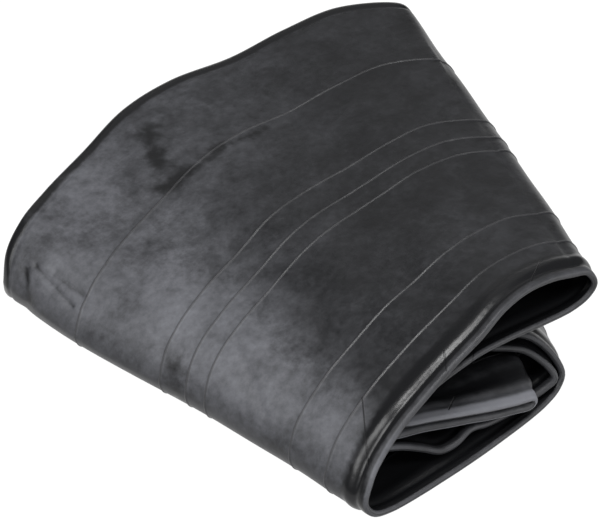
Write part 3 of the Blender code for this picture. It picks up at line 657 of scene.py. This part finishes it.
def talc_and_light_by_region(n, place, across, shift):
    """Talc and painted light by region, and the painted highlight on the left turn's shoulder, with painted
    shade near the floor.
    """
    right, _, up = view_axes()
    # Paler towards the left of the view: talc with a painted sheen
    side = n.between(n.dot(place, right, right.dot(shift)), *SIDE_FADE)
    # Painted highlight on the shoulder of the big left turn, weaker towards the back
    shoulder = right * SHOULDER_SIDE[0] + up * SHOULDER_SIDE[1]
    away = n.dot(place, shoulder, shoulder.dot(shift) - SHOULDER_PLACE)
    shoulder_highlight = n.between(away, 0.0, SHOULDER_WIDTH, SHOULDER_HIGHLIGHT_STRENGTH, 0.0)
    regional_talc_and_light = n.maths("MULTIPLY", side, SIDE_TALC_AND_SHEEN)
    regional_talc_and_light = n.maths("MULTIPLY_ADD", shoulder_highlight, n.between(across, *BACK_FADE), regional_talc_and_light)
    # Painted shade: less of all this near the floor
    level = n.dot(place, (0.0, 0.0, 1.0))
    return n.maths("MULTIPLY", regional_talc_and_light, n.between(level, *FLOOR_FADE)), shoulder_highlight


def edged_talc_and_light(n, talc_and_painted_light, along, across, shoulder_highlight, flap_start, flap_end):
    """Talc and painted light, with painted shade in strips along the rim and the roll, and painted highlights
    on the flap, front edges and bead.
    """
    # Painted shade in strips along the back rim and the front roll
    bare = n.maths("MAXIMUM", n.between(across, *RIM_FADE), n.between(across, *ROLL_FADE))
    talc_and_painted_light = n.maths("MULTIPLY_ADD", bare, STRIP_SHADE, talc_and_painted_light)
    skin = n.maths("FRACT", across)
    # Painted highlight on the flap's front
    flap = n.maths("MULTIPLY", n.between(along, flap_start - FLAP_BLUR, flap_start + FLAP_BLUR),
                   n.between(along, flap_end - FLAP_BLUR, flap_end + FLAP_BLUR, 1.0, 0.0))
    flap = n.maths("MULTIPLY", flap, n.between(skin, *FLAP_FADE))
    talc_and_painted_light = n.maths("MULTIPLY_ADD", flap, FLAP_HIGHLIGHT, talc_and_painted_light)
    # Painted highlight on the front edges
    edge = n.maths("MULTIPLY", n.between(skin, *EDGE_FADE), n.maths("SUBTRACT", 1.0, flap))
    talc_and_painted_light = n.maths("MULTIPLY_ADD", edge, EDGE_HIGHLIGHT, talc_and_painted_light)
    # Painted sheen on the bead in front of the groove, less under the shoulder highlight
    bead = n.maths("MULTIPLY", n.between(across, *BEAD_FADE), n.maths("SUBTRACT", 1.0, edge))
    bead = n.maths("MULTIPLY", bead, n.maths("MULTIPLY_ADD", shoulder_highlight, BEAD_UNDER_SHOULDER, 1.0))
    return n.maths("MULTIPLY_ADD", bead, BEAD_SHEEN, talc_and_painted_light)


def butyl_material(shift, flap_start, flap_end):
    """Black rubber. Talc makes it grey in places, mixed with painted sheen, highlights and shade, and there are
    rubbed places, painted shade along creases, paler edges as painted highlights, paler ribs, and thin lines
    with painted shade.
    """
    n = Nodes("butyl_rubber")
    coordinates = n.add("ShaderNodeTexCoord")
    place = coordinates.outputs["Object"]
    belt = n.add("ShaderNodeSeparateXYZ")
    n.join(coordinates.outputs["UV"], belt.inputs[0])
    along, across = belt.outputs["X"], belt.outputs["Y"]
    cloud, patch, speck, fine = (n.noise(place, *numbers)
                                 for numbers in (CLOUD_NOISE, PATCH_NOISE, SPECK_NOISE, FINE_NOISE))
    # Talc with painted sheen, highlight and shade, by region
    regional_talc_and_light, shoulder_highlight = talc_and_light_by_region(n, place, across, shift)
    uneven = UNEVEN_START
    for texture, share in zip((cloud, patch, speck), UNEVEN_SHARES):
        uneven = n.maths("MULTIPLY_ADD", texture, share, uneven)
    talc_and_painted_light = n.maths("MULTIPLY_ADD", uneven, n.between(regional_talc_and_light, *UNEVEN_FADE), regional_talc_and_light)
    # Rubbed places, and painted shade along three creases
    for start, end, width in RUBBED_AND_CREASE_SHADE:
        inward = n.maths("SUBTRACT", n.distance_to(place, shift, start, end), width * RAGGED)
        ragged = n.maths("MULTIPLY_ADD", patch, 2 * width * RAGGED, inward)
        talc_and_painted_light = n.maths("SUBTRACT", talc_and_painted_light, n.between(ragged, width * MARK_FULL, width, MARK_DARKENING, 0.0))
    talc_and_painted_light = edged_talc_and_light(n, talc_and_painted_light, along, across, shoulder_highlight, flap_start, flap_end)
    colour = n.mix(n.between(talc_and_painted_light, *TALC_AND_LIGHT_RANGE), BARE_COLOUR, PALE_TALC_AND_SHEEN_COLOUR)
    ribs = 0.0
    for rib in RIBS:
        away = n.maths("ABSOLUTE", n.maths("SUBTRACT", across, rib))
        ribs = n.maths("MAXIMUM", n.between(away, *RIB_FADE), ribs)
    colour = n.mix(ribs, colour, RIB_COLOUR)
    lines = 0.0
    # Thin pressed lines, darker as painted shade
    for start, end, width in THIN_LINES:
        distance = n.distance_to(place, shift, start, end)
        lines = n.maths("MAXIMUM", n.between(distance, width * LINE_CORE, width, LINE_STRENGTH, 0.0), lines)
    colour = n.mix(lines, colour, LINE_COLOUR)
    n.join(colour, n.shader.inputs["Base Color"])
    n.join(n.between(talc_and_painted_light, *ROUGH_FADE), n.shader.inputs["Roughness"])
    n.shader.inputs["Specular IOR Level"].default_value = SPECULAR
    normal = n.bump(patch, *PATCH_BUMP)
    normal = n.bump(speck, *SPECK_BUMP, normal)
    normal = n.bump(fine, *FINE_BUMP, normal)
    normal = n.bump(n.maths("SUBTRACT", 1.0, lines), *LINE_BUMP, normal)
    n.join(normal, n.shader.inputs["Normal"])
    return n.material


def grained_material(name, colour, roughness, scale, surface):
    """A colour with clouds of a second one, and a fine grain."""
    coarser, clouds, (factor, offset), (least, most), grain_bump, metallic = surface
    n = Nodes(name)
    place = n.add("ShaderNodeTexCoord").outputs["Object"]
    grain = n.noise(place, scale, detail=GRAIN_DETAIL)
    cloud = n.noise(place, scale / coarser)
    second = tuple(channel * factor + offset for channel in colour)
    n.join(n.mix(n.between(cloud, *clouds), colour, second), n.shader.inputs["Base Color"])
    n.join(n.between(grain, *GRAIN_RANGE, roughness * least, roughness * most), n.shader.inputs["Roughness"])
    n.join(n.bump(grain, *grain_bump), n.shader.inputs["Normal"])
    n.shader.inputs["Metallic"].default_value = metallic
    return n.material


def add_rings(name, rings, material, node, body):
    """A smooth piece through a closed row of rings, in place of a solid."""
    rings = np.array(rings)
    mesh = bpy.data.meshes.new(name)
    mesh.from_pydata(rings.reshape(-1, 3).tolist(), [], wrapped_faces(*rings.shape[:2]))
    shape = bmesh.new()
    shape.from_mesh(mesh)
    bmesh.ops.remove_doubles(shape, verts=shape.verts, dist=WELD)
    bmesh.ops.dissolve_degenerate(shape, edges=shape.edges, dist=WELD)
    bare = [edge for edge in shape.edges if not edge.link_faces]
    bmesh.ops.delete(shape, geom=bare, context="EDGES")
    bmesh.ops.recalc_face_normals(shape, faces=shape.faces)
    shape.to_mesh(mesh)
    shape.free()
    mesh.shade_smooth()
    mesh.set_sharp_from_angle(angle=SHARP)
    mesh.materials.append(material)
    piece = bpy.data.objects.new(name, mesh)
    bpy.context.scene.collection.objects.link(piece)
    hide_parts(node)
    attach(piece, body)
    return piece


def circle(steps=AROUND):
    angle = 2 * math.pi * np.arange(steps) / steps
    return angle, np.cos(angle), np.sin(angle)


def quarter_turn():
    """Angles of a rounded corner."""
    return [math.pi / 2 * k / TIP_STEPS for k in range(TIP_STEPS + 1)]


def valve_axis():
    """Place of the valve's straight axis where the stem leaves its sleeve. It points along +Y."""
    low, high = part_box("stem_insert")
    return np.array([(low.x + high.x) / 2, low.y + SHANK_LENGTH, (low.z + high.z) / 2])


def turned_ring(place, radius, distance, steps=AROUND):
    """A ring round the valve's axis. The radius may differ round it."""
    _, cosine, sine = circle(steps)
    return np.stack([place[0] + radius * cosine, np.full(steps, place[1]) + distance,
                     place[2] + radius * sine], axis=1)


def make_patch(material):
    low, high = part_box("valve_patch")
    middle = (low + high) / 2
    _, cosine, sine = circle()
    rings = []
    for share, height in PATCH_OUTLINE:
        half_width = HOLE_RADIUS + share * ((high.x - low.x) / 2 - HOLE_RADIUS)
        half_length = HOLE_RADIUS + share * ((high.y - low.y) / 2 - HOLE_RADIUS)
        level = np.full(AROUND, low.z + height * (high.z - low.z))
        rings.append(np.stack([middle.x + half_width * cosine, middle.y + half_length * sine, level], axis=1))
    add_rings("feathered_patch", rings, material, "valve_patch", "pack")


def neck_ring(place, distance, radius):
    """A ring round the valve's middle line, which rises from the foot, bends over and runs on along +Y."""
    foot_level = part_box("valve_body")[0].z
    bend_length = BEND_RADIUS * math.pi / 2
    angle = min(max((distance - FOOT_HEIGHT) / BEND_RADIUS, 0.0), math.pi / 2)
    straight = max(distance - FOOT_HEIGHT - bend_length, 0.0)
    start = place[1] - SLEEVE_LENGTH
    along = start - BEND_RADIUS * math.cos(angle) + straight
    level = foot_level + min(distance, FOOT_HEIGHT) + BEND_RADIUS * math.sin(angle)
    _, cosine, sine = circle()
    return np.stack([place[0] + radius * cosine, along - radius * sine * math.cos(angle),
                     level + radius * sine * math.sin(angle)], axis=1)


def make_valve_body(material):
    place = valve_axis()
    sleeve_start = FOOT_HEIGHT + BEND_RADIUS * math.pi / 2
    sleeve_end = sleeve_start + SLEEVE_LENGTH
    outline = list(FOOT_OUTLINE)
    outline += [(distance, SLEEVE_RADIUS) for distance in np.arange(NECK_START, sleeve_start, NECK_STEP)]
    outline += [(sleeve_start, SLEEVE_RADIUS), (sleeve_start + SLEEVE_TAPER_START, SLEEVE_RADIUS)]
    for angle in quarter_turn():
        outline.append((sleeve_end - TIP_ROUNDING * (1 - math.sin(angle)),
                        SLEEVE_TIP_RADIUS - TIP_ROUNDING * (1 - math.cos(angle))))
    shank_end = sleeve_end - SHANK_LENGTH
    outline += [(sleeve_end, SHANK_BORE), (shank_end + ANCHOR_LENGTH, SHANK_BORE),
                (shank_end + ANCHOR_LENGTH, ANCHOR_BORE), (shank_end - CLEARANCE, ANCHOR_BORE),
                (shank_end - CLEARANCE, AIR_RADIUS)]
    outline += [(distance, AIR_RADIUS) for distance in np.arange(sleeve_start, 0.0, -NECK_STEP)]
    outline.append((0.0, AIR_RADIUS))
    rings = [neck_ring(place, distance, radius) for distance, radius in outline]
    add_rings("moulded_valve", rings, material, "valve_body", "pack")


def make_stem(material):
    place = valve_axis()
    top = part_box("stem_insert")[1].y - place[1]
    thread_start = CLEARANCE + COLLAR_LENGTH
    angle = circle()[0]
    rings = []
    count = int(round((top - thread_start) / THREAD_PITCH * THREAD_STEPS))
    for k in range(count, -1, -1):
        distance = thread_start + (top - thread_start) * k / count
        turn = (distance / THREAD_PITCH - angle / (2 * math.pi)) % 1.0
        cut = THREAD_DEPTH * np.abs(2 * turn - 1)
        lead = min((top - distance) / THREAD_PITCH, 1.0)
        radius = THREAD_RADIUS - cut * lead - THREAD_DEPTH * (1 - lead)
        rings.append(turned_ring(place, radius, distance))
    shank = SHANK_BORE - CLEARANCE
    anchor = ANCHOR_BORE - CLEARANCE
    inner = [(COLLAR_RADIUS, thread_start), (COLLAR_RADIUS, CLEARANCE), (shank, CLEARANCE),
             (shank, -SHANK_LENGTH + ANCHOR_LENGTH - CLEARANCE),
             (anchor, -SHANK_LENGTH + ANCHOR_LENGTH - CLEARANCE), (anchor, -SHANK_LENGTH),
             (AIR_RADIUS, -SHANK_LENGTH), (AIR_RADIUS, SEAT_TOP - SEAT_LENGTH), (CORE_RADIUS, SEAT_TOP),
             (CORE_RADIUS, top)]
    rings += [turned_ring(place, radius, distance) for radius, distance in inner]
    add_rings("threaded_stem", rings, material, "stem_insert", "pack")


def make_spring(material):
    """A coil round the valve's axis between the ends of the spring's solid."""
    place = valve_axis()
    low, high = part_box("core_spring")
    coil_radius = max(high.x - place[0], place[0] - low.x) - SPRING_WIRE
    start, end = low.y + SPRING_WIRE, high.y - SPRING_WIRE
    count = SPRING_TURNS * SPRING_STEPS
    _, cosine, sine = circle(SPRING_SIDES)
    rings = []
    for k in [0, *range(count + 1), count]:
        angle = 2 * math.pi * k / SPRING_STEPS
        wire = 0.0 if len(rings) in (0, count + 2) else SPRING_WIRE
        radius = coil_radius + wire * cosine
        along = start + (end - start) * k / count + wire * sine
        rings.append(np.stack([place[0] + radius * math.cos(angle), along,
                               place[2] + radius * math.sin(angle)], axis=1))
    spring = add_rings("coiled_spring", rings, material, "core_spring", "pack")
    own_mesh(spring)


def make_cap(material):
    place = valve_axis()
    low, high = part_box("cap_shell")
    skirt, top = low.y - place[1], high.y - place[1]
    radius = (high.x - low.x) / 2
    steps = CAP_FLUTES * FLUTE_STEPS
    lobes = np.maximum(np.cos(CAP_FLUTES * circle(steps)[0]), 0.0) ** 2
    outline = [(0.0, top, 0.0), (radius * ROOF_INNER, top, 0.0)]
    for k, angle in enumerate(quarter_turn()):
        outline.append((radius - CAP_ROUNDING * (1 - math.sin(angle)),
                        top - CAP_ROUNDING * (1 - math.cos(angle)),
                        FLUTE_AT_ROOF + (1 - FLUTE_AT_ROOF) * k / TIP_STEPS))
    flute_end = skirt + CAP_ROOF
    outline += [(radius, flute_end + CAP_ROUNDING, 1.0), (radius, flute_end + CAP_ROUNDING / 2, FLUTE_AT_SKIRT),
                (radius, flute_end, 0.0), (radius, skirt + SKIRT_ROUNDING, 0.0),
                (radius - SKIRT_ROUNDING, skirt, 0.0), (CAP_BORE + MOUTH_ROUNDING, skirt, 0.0),
                (CAP_BORE, skirt + MOUTH_ROUNDING, 0.0), (CAP_BORE, top - CAP_ROOF, 0.0),
                (0.0, top - CAP_ROOF, 0.0)]
    rings = [turned_ring(place, ring - FLUTE_DEPTH * depth * lobes, distance, steps)
             for ring, distance, depth in outline]
    add_rings("fluted_cap", rings, material, "cap_shell", "cap")


def dress_valve():
    """Finer pieces for the outer parts of the valve, and materials for all of its solids."""
    made = {}
    for name, (*look, nodes) in VALVE_MATERIALS.items():
        made[name] = grained_material(name, *look)
        for node in nodes:
            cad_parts[node].data.materials.clear()
            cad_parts[node].data.materials.append(made[name])
    make_patch(made["valve_rubber"])
    make_valve_body(made["valve_rubber"])
    make_stem(made["turned_brass"])
    make_spring(made["bright_steel"])
    make_cap(made["cap_plastic"])


def make_camera(shift):
    right, toward, up = view_axes()
    target = right * VIEW_CENTRE[0] + up * VIEW_CENTRE[1] - Vector(shift)
    data = bpy.data.cameras.new("camera")
    data.sensor_width = SENSOR
    data.lens = SENSOR * CAMERA_DISTANCE / VIEW_WIDTH
    data.clip_end = CLIP_END
    camera = bpy.data.objects.new("camera", data)
    bpy.context.scene.collection.objects.link(camera)
    camera.location = target + toward * CAMERA_DISTANCE
    camera.rotation_euler = (-toward).to_track_quat("-Z", "Y").to_euler()
    bpy.context.scene.camera = camera


def add_lamp(name, place, size, power):
    """A square lamp that points at the origin."""
    data = bpy.data.lights.new(name, "AREA")
    data.size = size
    data.energy = power
    lamp = bpy.data.objects.new(name, data)
    bpy.context.scene.collection.objects.link(lamp)
    lamp.location = place
    lamp.rotation_euler = (-Vector(place)).to_track_quat("-Z", "Y").to_euler()


def floor_material():
    """Grey paint that takes shadows, nearly white where it is seen directly, in metal or through glass."""
    n = Nodes("pale_floor")
    n.tree.nodes.remove(n.shader)
    paint = n.add("ShaderNodeBsdfDiffuse")
    paint.inputs["Color"].default_value = (FLOOR_PAINT, FLOOR_PAINT, FLOOR_PAINT, 1.0)
    white = n.add("ShaderNodeEmission")
    white.inputs["Strength"].default_value = FLOOR_WHITE
    path = n.add("ShaderNodeLightPath")
    seen = n.maths("MAXIMUM", path.outputs["Is Camera Ray"], path.outputs["Is Glossy Ray"])
    seen = n.maths("MAXIMUM", seen, path.outputs["Is Transmission Ray"])
    blend = n.add("ShaderNodeMixShader")
    n.join(n.maths("MULTIPLY", seen, FLOOR_SHOWN), blend.inputs[0])
    n.join(paint.outputs[0], blend.inputs[1])
    n.join(white.outputs[0], blend.inputs[2])
    n.join(blend.outputs[0], n.tree.nodes["Material Output"].inputs["Surface"])
    return n.material


def make_stage():
    bpy.ops.mesh.primitive_plane_add(size=FLOOR_SIZE, location=(0, 0, FLOOR_LEVEL))
    floor = bpy.context.object
    floor.name = "floor"
    floor.data.materials.append(floor_material())
    world = bpy.data.worlds.new("studio")
    bpy.context.scene.world = world
    world.use_nodes = True
    light = world.node_tree.nodes["Background"]
    light.inputs["Color"].default_value = (1, 1, 1, 1)
    light.inputs["Strength"].default_value = WORLD_LIGHT
    for name, lamp in LAMPS.items():
        add_lamp(name, *lamp)
    bpy.context.scene.view_settings.view_transform = "Standard"


shift = make_tube()
dress_valve()
make_camera(shift)
make_stage()
bpy.context.view_layer.update()
